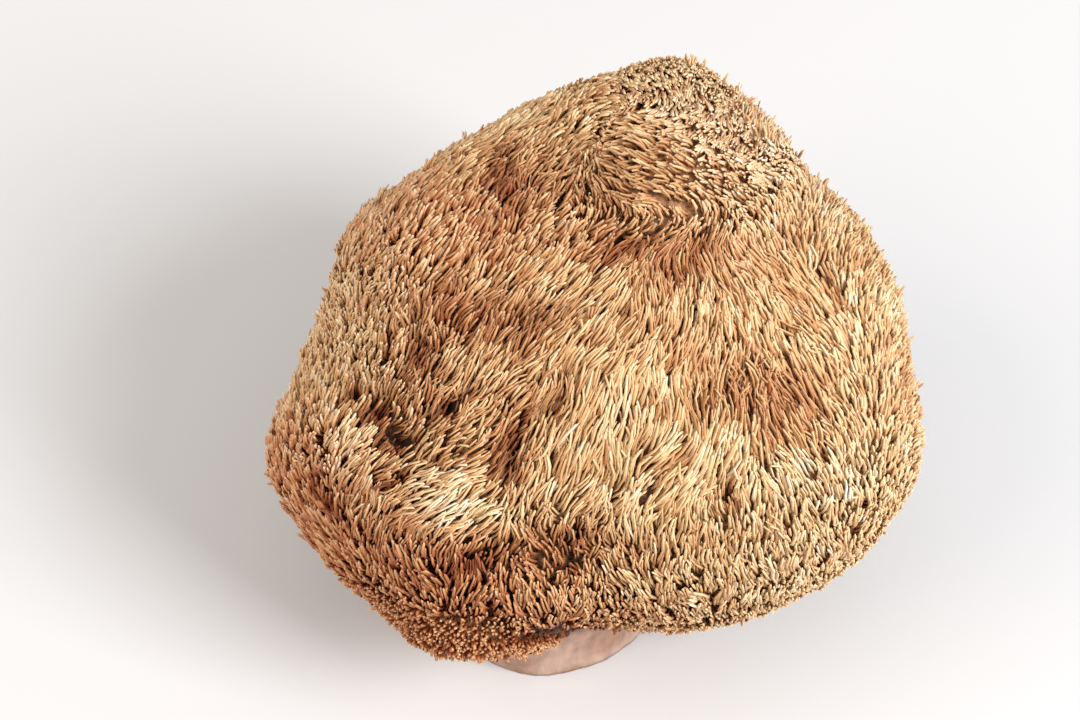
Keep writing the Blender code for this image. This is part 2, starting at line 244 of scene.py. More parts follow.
# Patches on the face, partly the spines' own colour and partly painted light and shade: x, y,
# half-length, half-width, how much paler, how much redder
TONE_AND_PAINTED_LIGHT_PATCHES = (
    # Darker, redder rows in the hollows, the fold under the mound, the dark band and the groove:
    # partly the spines' own brown, partly painted shade
    (-8, 32, 8, 5, -0.17, 0.0),
    (-14, 30, 4, 4, -0.18, -0.10),
    (2, 31, 2, 6, -0.14, 0.10),
    (9, 18, 9, 2.4, -0.15, 0.12),
    (3, 21, 4, 3, -0.15, 0.20),
    (-13, 8.5, 8, 2.6, -0.33, 0.30),
    (-22, 11, 3, 2.5, -0.25, 0.20),
    (-27, 3, 4, 5, -0.20, 0.20),
    (-30, -8, 3, 6, -0.12, 0.16),
    (-33, -4, 4, 3, -0.05, 0.12),
    (-14, -11, 2.5, 5, -0.24, 0.20),
    (-21, -21, 5.0, 3.8, 0.42, -0.22),
    (-6, -27, 4, 3, -0.20, 0.25),
    (24, -1.5, 6, 4, -0.28, 0.36),
    (28, -6, 3, 4, -0.16, 0.30),
    (-4, -28, 7, 3, -0.14, 0.15),
    (-20, -28, 8, 3, -0.12, 0.20),
    # These three rows, paler and less red on the lobe and to the right: partly their own colour,
    # partly painted light from the right
    (8, -8, 12, 9, 0.10, -0.20),
    (36, -6, 10, 22, 0.11, -0.16),
    (24, -26, 12, 9, 0.06, -0.10),
    # These four rows, paler along the upper-left edge: a painted highlight along the edge
    (-36, 25, 4, 2.5, 0.12, -0.10),
    (-28, 29.5, 4, 2.5, 0.09, -0.10),
    (-20, 34, 4, 2.5, 0.14, -0.20),
    (-12, 38, 4, 2.5, 0.12, -0.15),
    (12, 28, 7, 6, -0.07, 0.12),
    (9, 42, 14, 5, 0.06, 0.05),
    # Paler on the upper right of the crown: painted light, where the light falls brightest
    (22, 35, 9, 8, 0.29, 0.15),
    (-40, -13, 6, 8, 0.20, 0.0),
    # These three rows, redder on the left: a painted warm reflected light
    (-47, -17, 4, 8, -0.02, 0.50),
    (-42, -27, 5, 5, -0.04, 0.45),
    (-26, 26, 12, 7, 0.01, 0.72),
    (22, 34, 3, 5, -0.10, 0.10),
)

# The flesh
FLESH_AROUND = 240
CUT_ROWS = 10
STUB_PART = 0.16  # of the way from the edge of the cut to the top of the cushion
STUB_ROWS = 26
CUSHION_ROWS = 64
HOLE_DEPTH = 0.8  # about how much deeper the flesh lies in a hole
MOST_RAISED = 1.3
UNEVENNESS = 0.35  # of the flesh between the spines
# Waves of the stub: height, stretch of the three axes, size, seed
FIBRES = (
    (0.10, (1, 1, 0.25), 1.1, 31),
    (0.32, (1, 1, 0.7), 4.0, 32),
    (0.55, (1, 1, 1), 10.0, 34),
)

# Colours
BLACK = (0.0, 0.0, 0.0)
WHITE = (1.0, 1.0, 1.0)
DEEP_BROWN = (0.27, 0.115, 0.045)
BROWN = (0.48, 0.25, 0.105)
TAN = (0.74, 0.50, 0.255)
PALE = (0.86, 0.69, 0.43)
CREAM = (0.92, 0.83, 0.66)
# Reddish brown: the spines' own rusty tone, and the painted warm shade of the lower left
RUST_AND_WARM_SHADE = (0.60, 0.23, 0.10)
SPINE_MOTTLE = (0.80, 0.76, 0.70)
MOST_RUST_AND_WARM_SHADE = (0.5, 0.5, 0.5)
# Painted shade along the spines, darkest at the root, partly their own darker roots; the red ones
# paint a deeper, warmer shade
ROOT_SHADE = (0.46, 0.30, 0.18)
MIDDLE_SHADE = (0.88, 0.80, 0.72)
RED_ROOT_SHADE = (0.22, 0.07, 0.03)
RED_MIDDLE_SHADE = (0.66, 0.38, 0.25)
RED_END_SHADE = (1, 0.95, 0.9)
# The stub: its own pale pinkish tan, darkened partway with painted shade
STUB_DARK = (0.38, 0.235, 0.18)
STUB_COLOUR = (0.48, 0.31, 0.24)
STUB_LIGHT = (0.55, 0.38, 0.30)
STUB_BLOTCH = (0.74, 0.62, 0.54)
FLESH_DARK = (0.16, 0.065, 0.025)
FLESH_LIGHT = (0.46, 0.23, 0.10)
# Painted shade on the flesh at the bottom of the holes and in the lower-left gaps
PAINTED_HOLE_SHADE = (0.025, 0.010, 0.005)
FLOOR_COLOUR = (0.60, 0.60, 0.61)

FLOOR_HALF = 1.5  # metres
LIGHTS = (  # name, place in the face frame, size in metres, watts, colour
    ("key", (740, 60, 820), 0.50, 15.5, WHITE),
    ("fill", (-780, 160, 660), 0.9, 6.7, (1.0, 0.87, 0.73)),
)
SURROUND_STRENGTH = 0.66


def unit(vectors):
    """The vectors, each scaled to length one."""
    return vectors / np.maximum(np.linalg.norm(vectors, axis=-1, keepdims=True), 1e-9)


def to_face(rows):
    """Row-frame vectors in the frame of the face."""
    c, s = math.cos(FACE_TILT), math.sin(FACE_TILT)
    x, y, z = rows.T
    return np.stack((x, y * s + z * c, z * s - y * c), axis=1)


def to_row(faces):
    """Face-frame vectors in the row frame."""
    c, s = math.cos(FACE_TILT), math.sin(FACE_TILT)
    x, y, z = faces.T
    return np.stack((x, y * s - z * c, y * c + z * s), axis=1)


def outline_radius(angle):
    """OUTLINE read at any angle, on a smooth closed curve through its values."""
    radii = np.array(OUTLINE)
    place = np.mod(angle / (2 * math.pi) * len(radii), len(radii))
    low = np.floor(place).astype(int)
    t = place - low
    before, a, b, after = (radii[(low + k) % len(radii)] for k in (-1, 0, 1, 2))
    slope_a, slope_b = (b - before) / 2, (after - a) / 2
    swing = 3 * (b - a) - 2 * slope_a - slope_b
    return a + slope_a * t + swing * t**2 + (slope_a + slope_b - 2 * (b - a)) * t**3


def oval(x, y, cx, cy, long_side, short_side, turn):
    """From 0 to 1, how near places are to a spot that is turned by these degrees."""
    c, s = math.cos(math.radians(turn)), math.sin(math.radians(turn))
    along = ((x - cx) * c + (y - cy) * s) / long_side
    across = ((y - cy) * c - (x - cx) * s) / short_side
    return np.exp(-(along**2 + across**2) / 2)


def relief(points):
    """Height of the lumps and hollows on the cushion's front, and of the swells all over it."""
    x, y, z = points.T
    total = np.zeros(len(points))
    for *spot, height in RELIEF:
        total += height * oval(x, y, *spot)
    front = np.clip(z / 12 + 0.4, 0, 1)
    swell = np.sin(x / 9 + 1.0) * np.sin(y / 8 + 0.4) + np.sin(z / 7 + x / 11)
    return total * front + SWELL_HEIGHT * swell


def envelope_radius(ways):
    """Distance from the middle of the cushion to the spine tips, along each row-frame direction."""
    faces = to_face(ways)
    spread = np.hypot(faces[:, 0], faces[:, 1])
    side = outline_radius(np.arctan2(faces[:, 1], faces[:, 0]))
    depth = np.where(faces[:, 2] > 0, FRONT_DEPTH, BACK_DEPTH)
    section = (spread / side) ** ROUNDNESS + (np.abs(faces[:, 2]) / depth) ** ROUNDNESS
    cushion = section ** (-1 / ROUNDNESS)
    cushion = cushion + relief(cushion[:, None] * faces)

    down = -ways[:, 2]
    out = np.sqrt(np.maximum(1 - down**2, 1e-9))
    floor = np.maximum(down + UNDERSIDE_SLOPE * out, 0) / (CENTRE_HEIGHT - UNDERSIDE_HEIGHT)
    body = (cushion**-RIM_SHARPNESS + floor**RIM_SHARPNESS) ** (-1 / RIM_SHARPNESS)

    # The wall of the stub only counts along directions that lead down.
    reach = stub_reach(np.arctan2(ways[:, 1], ways[:, 0]))
    wall = (reach + STUB_FLARE * CENTRE_HEIGHT) / np.maximum(out + STUB_FLARE * down, 0.05)
    wall = np.minimum(wall * np.clip((down - 0.3) / 0.25, 0.02, 1), 60.0)
    whole = (body**STUB_SHARPNESS + wall**STUB_SHARPNESS) ** (1 / STUB_SHARPNESS)
    cut = CENTRE_HEIGHT / np.maximum(down, 1e-3)
    return np.minimum(whole, cut)


def stub_reach(azimuth):
    """From the middle of the cushion, how far the edge of the cut lies at each azimuth."""
    cx, cy = STUB_CENTRE
    along = cx * np.cos(azimuth) + cy * np.sin(azimuth)
    across = cy * np.cos(azimuth) - cx * np.sin(azimuth)
    turn = azimuth + np.arcsin(across / STUB_RADIUS)
    radius = STUB_RADIUS * (1 + 0.035 * np.sin(2 * turn + 0.5) + 0.02 * np.sin(5 * turn))
    return along + np.sqrt(radius**2 - across**2)


def spine_share(ways):
    """How much of the full spine depth grows along each direction: none on the bare stub."""
    down = -ways[:, 2]
    out = np.sqrt(np.maximum(1 - down**2, 1e-9))
    radius = envelope_radius(ways)
    beyond = radius * out - stub_reach(np.arctan2(ways[:, 1], ways[:, 0]))
    above = np.maximum(CENTRE_HEIGHT - down * radius - UNDERSIDE_HEIGHT - BARE_HEIGHT, 0)
    return np.clip((beyond - BARE_BELT + above) / ONSET, 0, 1)


def surface(ways, sunk=0.0):
    """Points at the envelope, or sunk below it by these millimetres where spines grow."""
    return (envelope_radius(ways) - sunk * spine_share(ways))[:, None] * ways


def normals_of(ways):
    """Outward normals of the envelope, from three nearby points."""
    step = 0.03
    side = unit(np.cross(ways, (0.3, 0.9, 0.2)))
    up = np.cross(ways, side)
    here = surface(ways)
    a = surface(unit(ways + step * side)) - here
    b = surface(unit(ways + step * up)) - here
    normal = unit(np.cross(a, b))
    return normal * np.sign((normal * ways).sum(axis=1, keepdims=True))


def soft_noise(points, size, seed):
    """Smooth noise from -1 to 1, with lumps of about this size in millimetres."""
    cells = 32
    lattice = np.random.default_rng(seed).uniform(-1, 1, (cells, cells, cells))
    place = points / size + 1000
    low = np.floor(place).astype(int)
    t = place - low
    t = t * t * (3 - 2 * t)
    total = np.zeros(len(points))
    for corner in np.ndindex(2, 2, 2):
        share = np.prod(np.where(corner, t, 1 - t), axis=1)
        x, y, z = ((low + corner) % cells).T
        total += share * lattice[x, y, z]
    return total


def nearest(points, others, count):
    """For each point, the numbers of its nearest others."""
    tree = kdtree.KDTree(len(others))
    for number, other in enumerate(others):
        tree.insert(other, number)
    tree.balance()
    return np.array([[hit[1] for hit in tree.find_n(point, count)] for point in points])


def seen(points):
    """Where points look to be from the camera, on the plane through the middle of the cushion."""
    faces = to_face(points)
    centre = np.array(CAMERA_OFFSET)
    scale = CAMERA_DISTANCE / (CAMERA_DISTANCE - faces[:, 2:])
    return centre + (faces[:, :2] - centre) * scale


def near_spot(points, x, y, long_side, short_side):
    """From 0 to 1, how near each point is to a spot of the face."""
    places = seen(points)
    away = ((places[:, 0] - x) / long_side) ** 2 + ((places[:, 1] - y) / short_side) ** 2
    return np.exp(-away / 2) * np.clip(to_face(points)[:, 2] / 8 + 0.3, 0, 1)


def frontness(points):
    """From 0 on the back of the cushion to 1 on its face."""
    return np.clip((to_face(points)[:, 2] + 12) / 12, 0, 1)


def lip(points):
    """From 0 to 1, how far points are past the edge of the fine-grained lip under the lower rim."""
    x, y = seen(points).T
    edge = np.interp(x, *zip(*LIP_EDGE))
    return np.clip((edge + 1.0 - y) / 2.5, 0, 1) * np.clip(to_face(points)[:, 2] / 4 + 6, 0, 1)


def crown_band(points):
    """From 0 to 1, how near points are to the band on the crown whose spines are seen end on."""
    x, y = seen(points).T
    band = np.zeros(len(points))
    for spot in END_ON_BANDS:
        band = np.maximum(band, oval(x, y, *spot))
    return band * (frontness(points) > 0.9)


def right_edge(points, normals):
    """From 0 to 1 towards the right and upper edges of the face, where the tips stand out."""
    faces = to_face(points)
    edge_on = np.clip(1.2 - 2.0 * to_face(normals)[:, 2], 0, 1)
    outer = np.maximum(faces[:, 0] / 15, (faces[:, 1] - 32) / 8)
    return edge_on * np.clip(outer, 0, 1) * np.clip(faces[:, 2] / 6 + 1.5, 0, 1)


def lower_left(points):
    """From 0 to 1 towards the lower left of the face: painted shade makes the spines darker and
    redder there, and the gaps between them are deeper.
    """
    faces = to_face(points)
    return np.clip((-24 - faces[:, 0] * 0.5 - faces[:, 1] * 0.9) / 26, 0, 1)


def tousled(points):
    """From 0 to 1, how much the spines are ruffled and thin, as in the brown hollows."""
    total = np.zeros(len(points))
    for spot in TOUSLED:
        total += near_spot(points, *spot)
    return np.clip(total, 0, 1)


def hollow_dip(points):
    """How far the tips sink into the holes."""
    x, y = seen(points).T
    total = np.zeros(len(points))
    for *spot, depth in HOLES:
        total += depth * oval(x, y, *spot)
    return total * (frontness(points) > 0.9)


def top_dip(points):
    """How far the tips and the flesh lie below the envelope at the top edge."""
    return TOP_DIP * near_spot(points, *TOP)


def painted_tip_highlight(points):
    """How much painted highlight the tips of the spines get: most on the left and on the crown."""
    left = sum(share * near_spot(points, *spot) for share, *spot in PAINTED_TIP_HIGHLIGHT_LEFT)
    pale = 0.28 * np.minimum(left, 1)
    for paler, *spot in PAINTED_TIP_HIGHLIGHT_SPOTS:
        pale = pale + paler * near_spot(points, *spot)
    return pale


def graded(points, face, back, lobe, rim):
    """A value that differs between the upper face, the back, the broad lobe and the lower rim.

    It is a little less on the crown and on the lip.
    """
    low = np.clip((-20 - seen(points)[:, 1]) / 10, 0, 1)
    value = face + (rim - face) * low
    value = value + (lobe - value) * near_spot(points, *LOBE)
    value = value * (1 - 0.10 * near_spot(points, *FINE_CROWN)) * (1 - 0.12 * lip(points))
    return back + (value - back) * frontness(points)


def spine_width(points, tousle):
    """Width of the spines: broadest on the lobe and the back, thinnest in the brown hollows."""
    width = graded(points, FACE_WIDTH, BACK_WIDTH, LOBE_WIDTH, RIM_WIDTH)
    return width * (1 - 0.2 * tousle) * (1 + 0.22 * lip(points)) * (1 + 0.2 * crown_band(points))


def spine_tones(points):
    """For each spine: how pale it is, and how reddish, from 0 to 1, with painted shade in the holes
    and on the lower left, and patches of painted light and shade.
    """
    tone = 0.53 + 0.08 * soft_noise(points, 9.0, 21) + 0.11 * soft_noise(points, 3.5, 22)
    tone += 0.08 * soft_noise(points, 1.2, 24)
    red = 0.20 + 0.12 * soft_noise(points, 11.0, 23)
    for *spot, paler, redder in TONE_AND_PAINTED_LIGHT_PATCHES:
        near = near_spot(points, *spot)
        tone += paler * near
        red += redder * near
    # Painted shade: darker in the holes
    tone -= 0.4 * np.minimum(hollow_dip(points), 1.5)
    # Painted warm shade on the lower left: darker, much redder spines
    low = lower_left(points)
    tone -= 0.17 * low
    red += 1.35 * low
    tone -= 0.03 * lip(points)
    red -= 0.25 * lip(points)
    return tone, red


def spine_ways(rng):
    """Directions of the spine roots over the cushion outside the bare stub, evenly spread."""
    count = int(CUSHION_AREA / (HEXAGON_SHARE * FINEST_PITCH**2))
    index = np.arange(count)
    height = 1 - 2 * (index + 0.5) / count
    turn = index * math.pi * (3 - math.sqrt(5))
    spread = np.sqrt(1 - height**2)
    ball = np.stack((spread * np.cos(turn), spread * np.sin(turn), height), axis=1)
    ways = unit(to_row(ball * BALL_SIZE))
    ways = unit(ways + rng.normal(0, 0.004, ways.shape))
    ways = ways[spine_share(ways) > 0.12]
    pitch = graded(surface(ways), FINEST_PITCH, BACK_PITCH, LOBE_PITCH, RIM_PITCH)
    kept = rng.uniform(0, 1, len(ways)) < (FINEST_PITCH / pitch) ** 2
    ways, pitch = ways[kept], pitch[kept]
    for _ in range(SPREADING_ROUNDS):
        points = surface(ways)
        near = nearest(points, points, NEIGHBOURS + 1)[:, 1:]
        apart = points[:, None, :] - points[near]
        distance = np.linalg.norm(apart, axis=2, keepdims=True)
        too_near = np.maximum(1.15 * pitch[:, None, None] - distance, 0)
        push = apart / np.maximum(distance, 0.05) * too_near
        ways = unit(points + 0.3 * push.sum(axis=1))
    return ways[spine_share(ways) > 0.2]


def combed(points, normals):
    """At points of the envelope: the way the spines lean along the surface, and how far they reach.

    Where a stroke reaches less than a millimetre, the spines point to the viewer. Far from any
    stroke they point to the crown.
    """
    places = seen(points)
    ahead = to_face(normals)
    crown = to_row(CROWN[None, :])[0] - points
    distance = np.linalg.norm(crown, axis=1)
    squareness = np.maximum(ahead[:, 2], LEAST_SQUARE)
    slant = np.hypot(ahead[:, 0], ahead[:, 1]) / squareness
    end_on = np.clip(0.3 + FLESH_DEPTH * slant, 0, 3.5)
    lean = np.zeros((len(points), 2))
    total = np.zeros(len(points))
    facing = np.zeros(len(points))
    reach = np.zeros(len(points))
    for x, y, degrees, far in STROKES:
        away = np.hypot(places[:, 0] - x, places[:, 1] - y)
        weight = np.exp(-((away / STROKE_SIZE) ** 2) / 2)
        total += weight
        if far < 1:
            facing += weight
            reach += weight * end_on
        else:
            angle = math.radians(degrees)
            lean += weight[:, None] * (math.cos(angle), math.sin(angle))
            reach += weight * far
    front = np.clip(to_face(points)[:, 2] / 10 + 0.7, 0, 1) ** 2
    rest = 0.03 + 1 - front
    toward = -(lean * ahead[:, :2]).sum(axis=1) / squareness
    toward = toward + facing / np.maximum(slant, 0.3)
    lean = front[:, None] * to_row(np.column_stack((lean, toward))) + rest[:, None] * unit(crown)
    reach = (front * reach + rest * np.clip(distance / 14, 0.6, 3.6)) / (front * total + rest)
    lean = unit(lean - (lean * normals).sum(axis=1, keepdims=True) * normals)
    visible = np.linalg.norm(to_face(lean)[:, :2], axis=1)
    share = front * np.clip(1 - facing / np.maximum(total, 1e-6), 0, 1)
    return lean, reach * (1 + share * (1 / np.maximum(visible, 0.5) - 1))


def turned(ways, normals, angles):
    """Directions along the surface, turned about the normals by these angles."""
    side = np.cross(normals, ways)
    return ways * np.cos(angles)[:, None] + side * np.sin(angles)[:, None]


def swirl(points):
    """Angle in radians by which the combed direction sways from place to place."""
    calm = 1 - 0.6 * near_spot(points, *CALM)
    return calm * (0.24 * soft_noise(points, 6.5, 3) + 0.22 * soft_noise(points, 2.0, 4))


def stopped(points, lean, reach):
    """The reach of spines that stop short of any hole in their way."""
    left = np.ones(len(points))
    outside = hollow_dip(points) < 0.6
    for s in (1.0, 0.85, 0.7, 0.55, 0.4):
        there = hollow_dip(points + (reach * s)[:, None] * lean) > 1.5
        left = np.where(there & outside, s - 0.1, left)
    return reach * left


def habits(ways, rng):
    """How each spine grows, in arrays by name, and the numbers of the spines that guide a lock.

    way is its direction from the middle of the cushion, share the part of the full depth that
    grows there, lock the guide that it follows, and pull how much its tip draws to the guide's.
    reach is how far it runs along the surface. turn, curl and wave are angles by which it leaves
    the combed direction: all along, from root to tip, and to and fro. dip is how far the tip lies
    below the envelope, lift how far it rises again, and sink the depth of a hole that it is in.
    tip is how pale its tip is, partly a painted highlight. paler and redder are what its own colour
    adds to its place's.
    """
    points = surface(ways)
    normals = normals_of(ways)
    count = len(ways)
    guides = np.flatnonzero(rng.uniform(0, 1, count) < 1 / LOCK_SIZE)
    lock = nearest(points, points[guides], 1)[:, 0]
    share = spine_share(ways)
    tousle = tousled(points)
    mound = near_spot(points, *MOUND)
    crown = crown_band(points)
    whorl = near_spot(points, *WHORL)
    grain = lip(points)
    fringe = right_edge(points, normals)
    sink = hollow_dip(points)

    def whim(own, shared):
        """One random number for each spine, partly shared within its lock."""
        return own * rng.normal(0, 1, count) + shared * rng.normal(0, 1, len(guides))[lock]

    lean, reach = combed(points, normals)
    pull = 0.22 + 0.1 * (mound + tousle - fringe) - 0.15 * crown - 0.1 * whorl
    pull = np.clip(pull + 0.08 * whim(0, 1), 0, 0.7)
    reach = reach * np.clip(1 + whim(0.12, 0.16), 0.5, 1.5)
    turn = whim(0.10, 0.16)
    turn = turn + (0.3 * tousle + 0.3 * mound) * whim(0.7, 0.7) + 0.8 * grain * whim(1, 0)
    curl = whim(0.18, 0.24) * (1 + 1.2 * mound) + whorl * whim(0.1, 0.35)
    wave = (0.28 + 0.2 * mound) * soft_noise(points, 5.0, 35)
    dip = rng.uniform(0, 1, count)
    width = spine_width(points, tousle) * rng.uniform(0.84, 1.16, count)

    reach *= (1 - 0.5 * fringe) * (1 - 0.2 * np.minimum(sink, 1))
    reach += grain * (rng.uniform(0.2, 1.1, count) - reach)
    stray = rng.uniform(0, 1, count) < STRAY_SHARE
    turn += np.where(stray, rng.normal(0, 0.6, count), 0)
    reach *= np.where(stray, 0.6, 1.0)
    reach = stopped(points, lean, reach)

    flat = np.clip(reach / LONGEST_REACH, 0, 1)
    dip = dip**1.2 * (0.3 + 0.8 * flat) + whim(0.05, 0.22)
    dip += (1 - flat) ** 2 * rng.normal(0, 0.3, count) + 0.2 * grain * rng.uniform(0, 1, count)
    dip = np.clip(dip, -0.4, 3.0) * share
    dip = dip * (1 - 0.6 * crown) + 0.8 * np.minimum(sink, 2.5)
    dip += top_dip(points) * share
    lift = np.abs(whim(0.6, 0.8)) * (0.15 + 0.75 * (1 - flat)) * share
    lift *= 1 - 0.75 * grain

    whisker = rng.uniform(0, 1, count) < WHISKER_SHARE
    stand = np.where(whisker, rng.uniform(0.4, 1.4, count), LAID_BACK)
    elsewhere = (seen(points) < WHISKER_CORNER).any(axis=1)
    stand = np.where(elsewhere, LAID_BACK, stand)
    lift = lift * (1 - 0.75 * fringe) + stand * fringe
    # Every tip a little paler, its own colour, plus the painted highlight on the tips
    tip = np.clip(0.10 + painted_tip_highlight(points) + 0.06 * whim(1, 0), 0, 1)
    paler = whim(0.12, 0.07)
    redder = whim(0.15, 0.10)
    return {
        "way": ways,
        "share": share,
        "lock": lock,
        "pull": pull,
        "reach": reach,
        "turn": turn,
        "curl": curl,
        "wave": wave,
        "dip": dip,
        "lift": lift,
        "sink": sink * share,
        "width": width,
        "tip": tip,
        "paler": paler,
        "redder": redder,
    }, guides


def grow(ways, rng):
    """The spines with roots in these directions, in one group for each set of rings.

    They grow in locks. The spines of a lock share most of their whims, and their tips draw
    together.
    """
    ways = ways[hollow_dip(surface(ways)) < rng.uniform(*EMPTY_DEPTH, len(ways))]
    spines, guides = habits(ways, rng)
    leaders = {key: values[guides] for key, values in spines.items()}
    groups = []
    most = ENDLESS
    for least, rings in RING_SETS:
        mine = (spines["reach"] >= least) & (spines["reach"] < most)
        group = {key: values[mine] for key, values in spines.items()}
        guide, _ = curves(leaders, rings)
        rows, group["along"] = curves(group, rings)
        for number, s in enumerate(rings + (1.0,)):
            drawn = group["pull"] * s**PULL_POWER
            rows[number] += drawn[:, None] * (guide[number, group["lock"]] - rows[number])
        tone, red = spine_tones((rows[-2] + rows[-1]) / 2)
        # Painted shade: spines in a hole are darker still
        tone -= 0.5 * np.minimum(group["sink"], 1.5)
        group["rows"] = rows
        group["tone"] = np.clip(tone + group["paler"], 0, 1)
        group["red"] = np.clip(red + group["redder"], 0, 1)
        groups.append((rings, group))
        most = least
    return groups


def curves(group, rings):
    """Centre points of the spines at their rings and tips, and how far along each of them looks,
    with painted light on the crown and painted shade in the holes.
    """
    places = surface(group["way"])
    normals = normals_of(group["way"])
    lean = combed(places, normals)[0]
    reach = group["reach"] * (0.3 + 0.7 * group["share"])
    root = ROOT_DEPTH * group["share"] + group["sink"]
    steps = rings + (1.0,)
    is_long = len(rings) > 3
    # Painted light on the crown: the root shade is lifted there
    lit = 0.75 * near_spot(places, *LIT_ROOTS)
    points, along_with_painted_light = [], []
    for number, s in enumerate(steps):
        risen = 1 - (1 - s) ** (STEEP_START if is_long else SOFT_START)
        depth = root * (1 - risen) + group["dip"] * risen - group["lift"] * s**2
        points.append(places - depth[:, None] * normals)
        # How far along each ring looks, for its colour: at least lit, and less in the holes, where
        # the whole spine takes the painted root shade
        along_with_painted_light.append(np.maximum(s, lit) * (1 - np.clip(0.6 * hollow_dip(places), 0, 0.95)))
        if s < 1:
            stride = reach * (steps[number + 1] ** STRIDE_POWER - s**STRIDE_POWER)
            bend = group["curl"] * (2 * s - 1) + group["wave"] * math.sin(2 * math.pi * s)
            way = turned(lean, normals, swirl(places) + group["turn"] + bend)
            moved = unit(places + way * stride[:, None])
            places = surface(moved)
            if is_long:
                normals = normals_of(moved)
                lean = combed(places, normals)[0]
    return np.stack(points), np.stack(along_with_painted_light)


def tube(rows, width, rings):
    """Vertices of closed spines about their centre points: SIDES for each ring, then the tip."""
    corners = []
    for number, s in enumerate(rings):
        way = unit(rows[number + 1] - rows[max(number - 1, 0)])
        side = unit(np.cross(way, rows[0]))
        top = np.cross(side, way)
        half = (width * np.interp(s, *TAPER) * CORNER_SHARE)[:, None]
        for k in range(SIDES):
            angle = math.pi / 2 + 2 * math.pi * k / SIDES
            corner = (math.cos(angle) * side + math.sin(angle) * top) * half
            corners.append(rows[number] + corner)
    return np.stack(corners + [rows[-1]], axis=1)


def spine_faces(rings):
    """Faces of one spine by its own vertex numbers, and each corner's place in a unit square."""
    places = [CAP_SHARE + (1 - CAP_SHARE) * s for s in rings]
    quads, quad_uv = [], []
    fans = [list(range(SIDES))[::-1]]
    fan_uv = [[(0, 0), (0, 0.08), (0.08, 0)]]
    last = (len(rings) - 1) * SIDES
    for k in range(SIDES):
        after = (k + 1) % SIDES
        left, right = k / SIDES, (k + 1) / SIDES
        for ring in range(len(rings) - 1):
            low, high = places[ring], places[ring + 1]
            a, b = ring * SIDES + k, ring * SIDES + after
            quads.append([a, b, b + SIDES, a + SIDES])
            quad_uv.append([(left, low), (right, low), (right, high), (left, high)])
        fans.append([last + k, last + after, last + SIDES])
        fan_uv.append([(left, places[-1]), (right, places[-1]), ((left + right) / 2, 1.0)])
    return np.array(quads), np.array(fans), np.array(quad_uv, float), np.array(fan_uv, float)


def spine_mesh(name, groups):
    """One closed mesh of the spines in the groups, each group with its own number of rings."""
    total = sum(len(group["width"]) for group in groups)
    side = math.ceil(math.sqrt(total))
    vertices, faces, places = [], [], []
    attributes = {"along": [], "tone": [], "red": [], "tip": []}
    first_vertex = first_spine = 0
    for group in groups:
        rings = group["rings"]
        made = tube(group["rows"], group["width"], rings)
        count, per_spine = made.shape[:2]
        quads, fans, quad_uv, fan_uv = spine_faces(rings)
        start = first_vertex + (np.arange(count) * per_spine)[:, None, None]
        number = first_spine + np.arange(count)
        cell = np.column_stack((number % side, number // side))[:, None, :] + CELL_MARGIN
        for pattern, uv in ((quads, quad_uv), (fans, fan_uv)):
            faces.append((pattern[None] + start).reshape(-1, pattern.shape[1]))
            inside = (1 - 2 * CELL_MARGIN) * uv.reshape(1, -1, 2)
            places.append(((cell + inside) / side).reshape(-1, 2))
        vertices.append(made.reshape(-1, 3))
        per_ring = (SIDES,) * len(rings) + (1,)
        attributes["along"].append(np.repeat(group["along"].T, per_ring, axis=1).ravel())
        for key in ("tone", "red", "tip"):
            attributes[key].append(np.repeat(group[key], per_spine))
        first_vertex += count * per_spine
        first_spine += count
    mesh = mesh_from(name, to_metres(np.concatenate(vertices)), faces)
    layer = mesh.uv_layers.new(name="OFBake")
    layer.data.foreach_set("uv", np.concatenate(places).astype(np.float32).ravel())
    for key, values in attributes.items():
        add_attribute(mesh, key, np.concatenate(values))
    return mesh


def to_metres(points):
    """Points measured from the middle of the cushion, in metres in the row frame."""
    return (points - (*STUB_CENTRE, -CENTRE_HEIGHT)) * MM


def mesh_from(name, vertices, blocks):
    """A smooth mesh of the faces in the blocks. The faces of a block have as many corners each."""
    mesh = bpy.data.meshes.new(name)
    mesh.vertices.add(len(vertices))
    mesh.vertices.foreach_set("co", vertices.astype(np.float32).ravel())
    corners = np.concatenate([block.ravel() for block in blocks])
    mesh.loops.add(len(corners))
    mesh.loops.foreach_set("vertex_index", corners.astype(np.int32))
    sizes = np.concatenate([np.full(len(block), block.shape[1]) for block in blocks])
    mesh.polygons.add(len(sizes))
    mesh.polygons.foreach_set("loop_start", (np.cumsum(sizes) - sizes).astype(np.int32))
    mesh.polygons.foreach_set("use_smooth", np.ones(len(sizes), bool))
    mesh.update(calc_edges=True)
    return mesh


def add_attribute(mesh, name, values):
    """A number at each vertex, for the material to read."""
    layer = mesh.attributes.new(name, "FLOAT", "POINT")
    layer.data.foreach_set("value", np.asarray(values, np.float32))


def link_piece(name, mesh, material):
    """An object of the mushroom, on its one body and in its one material slot."""
    mesh.materials.append(material)
    piece = bpy.data.objects.new(name, mesh)
    bpy.context.scene.collection.objects.link(piece)
    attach(piece, "root")
    return piece


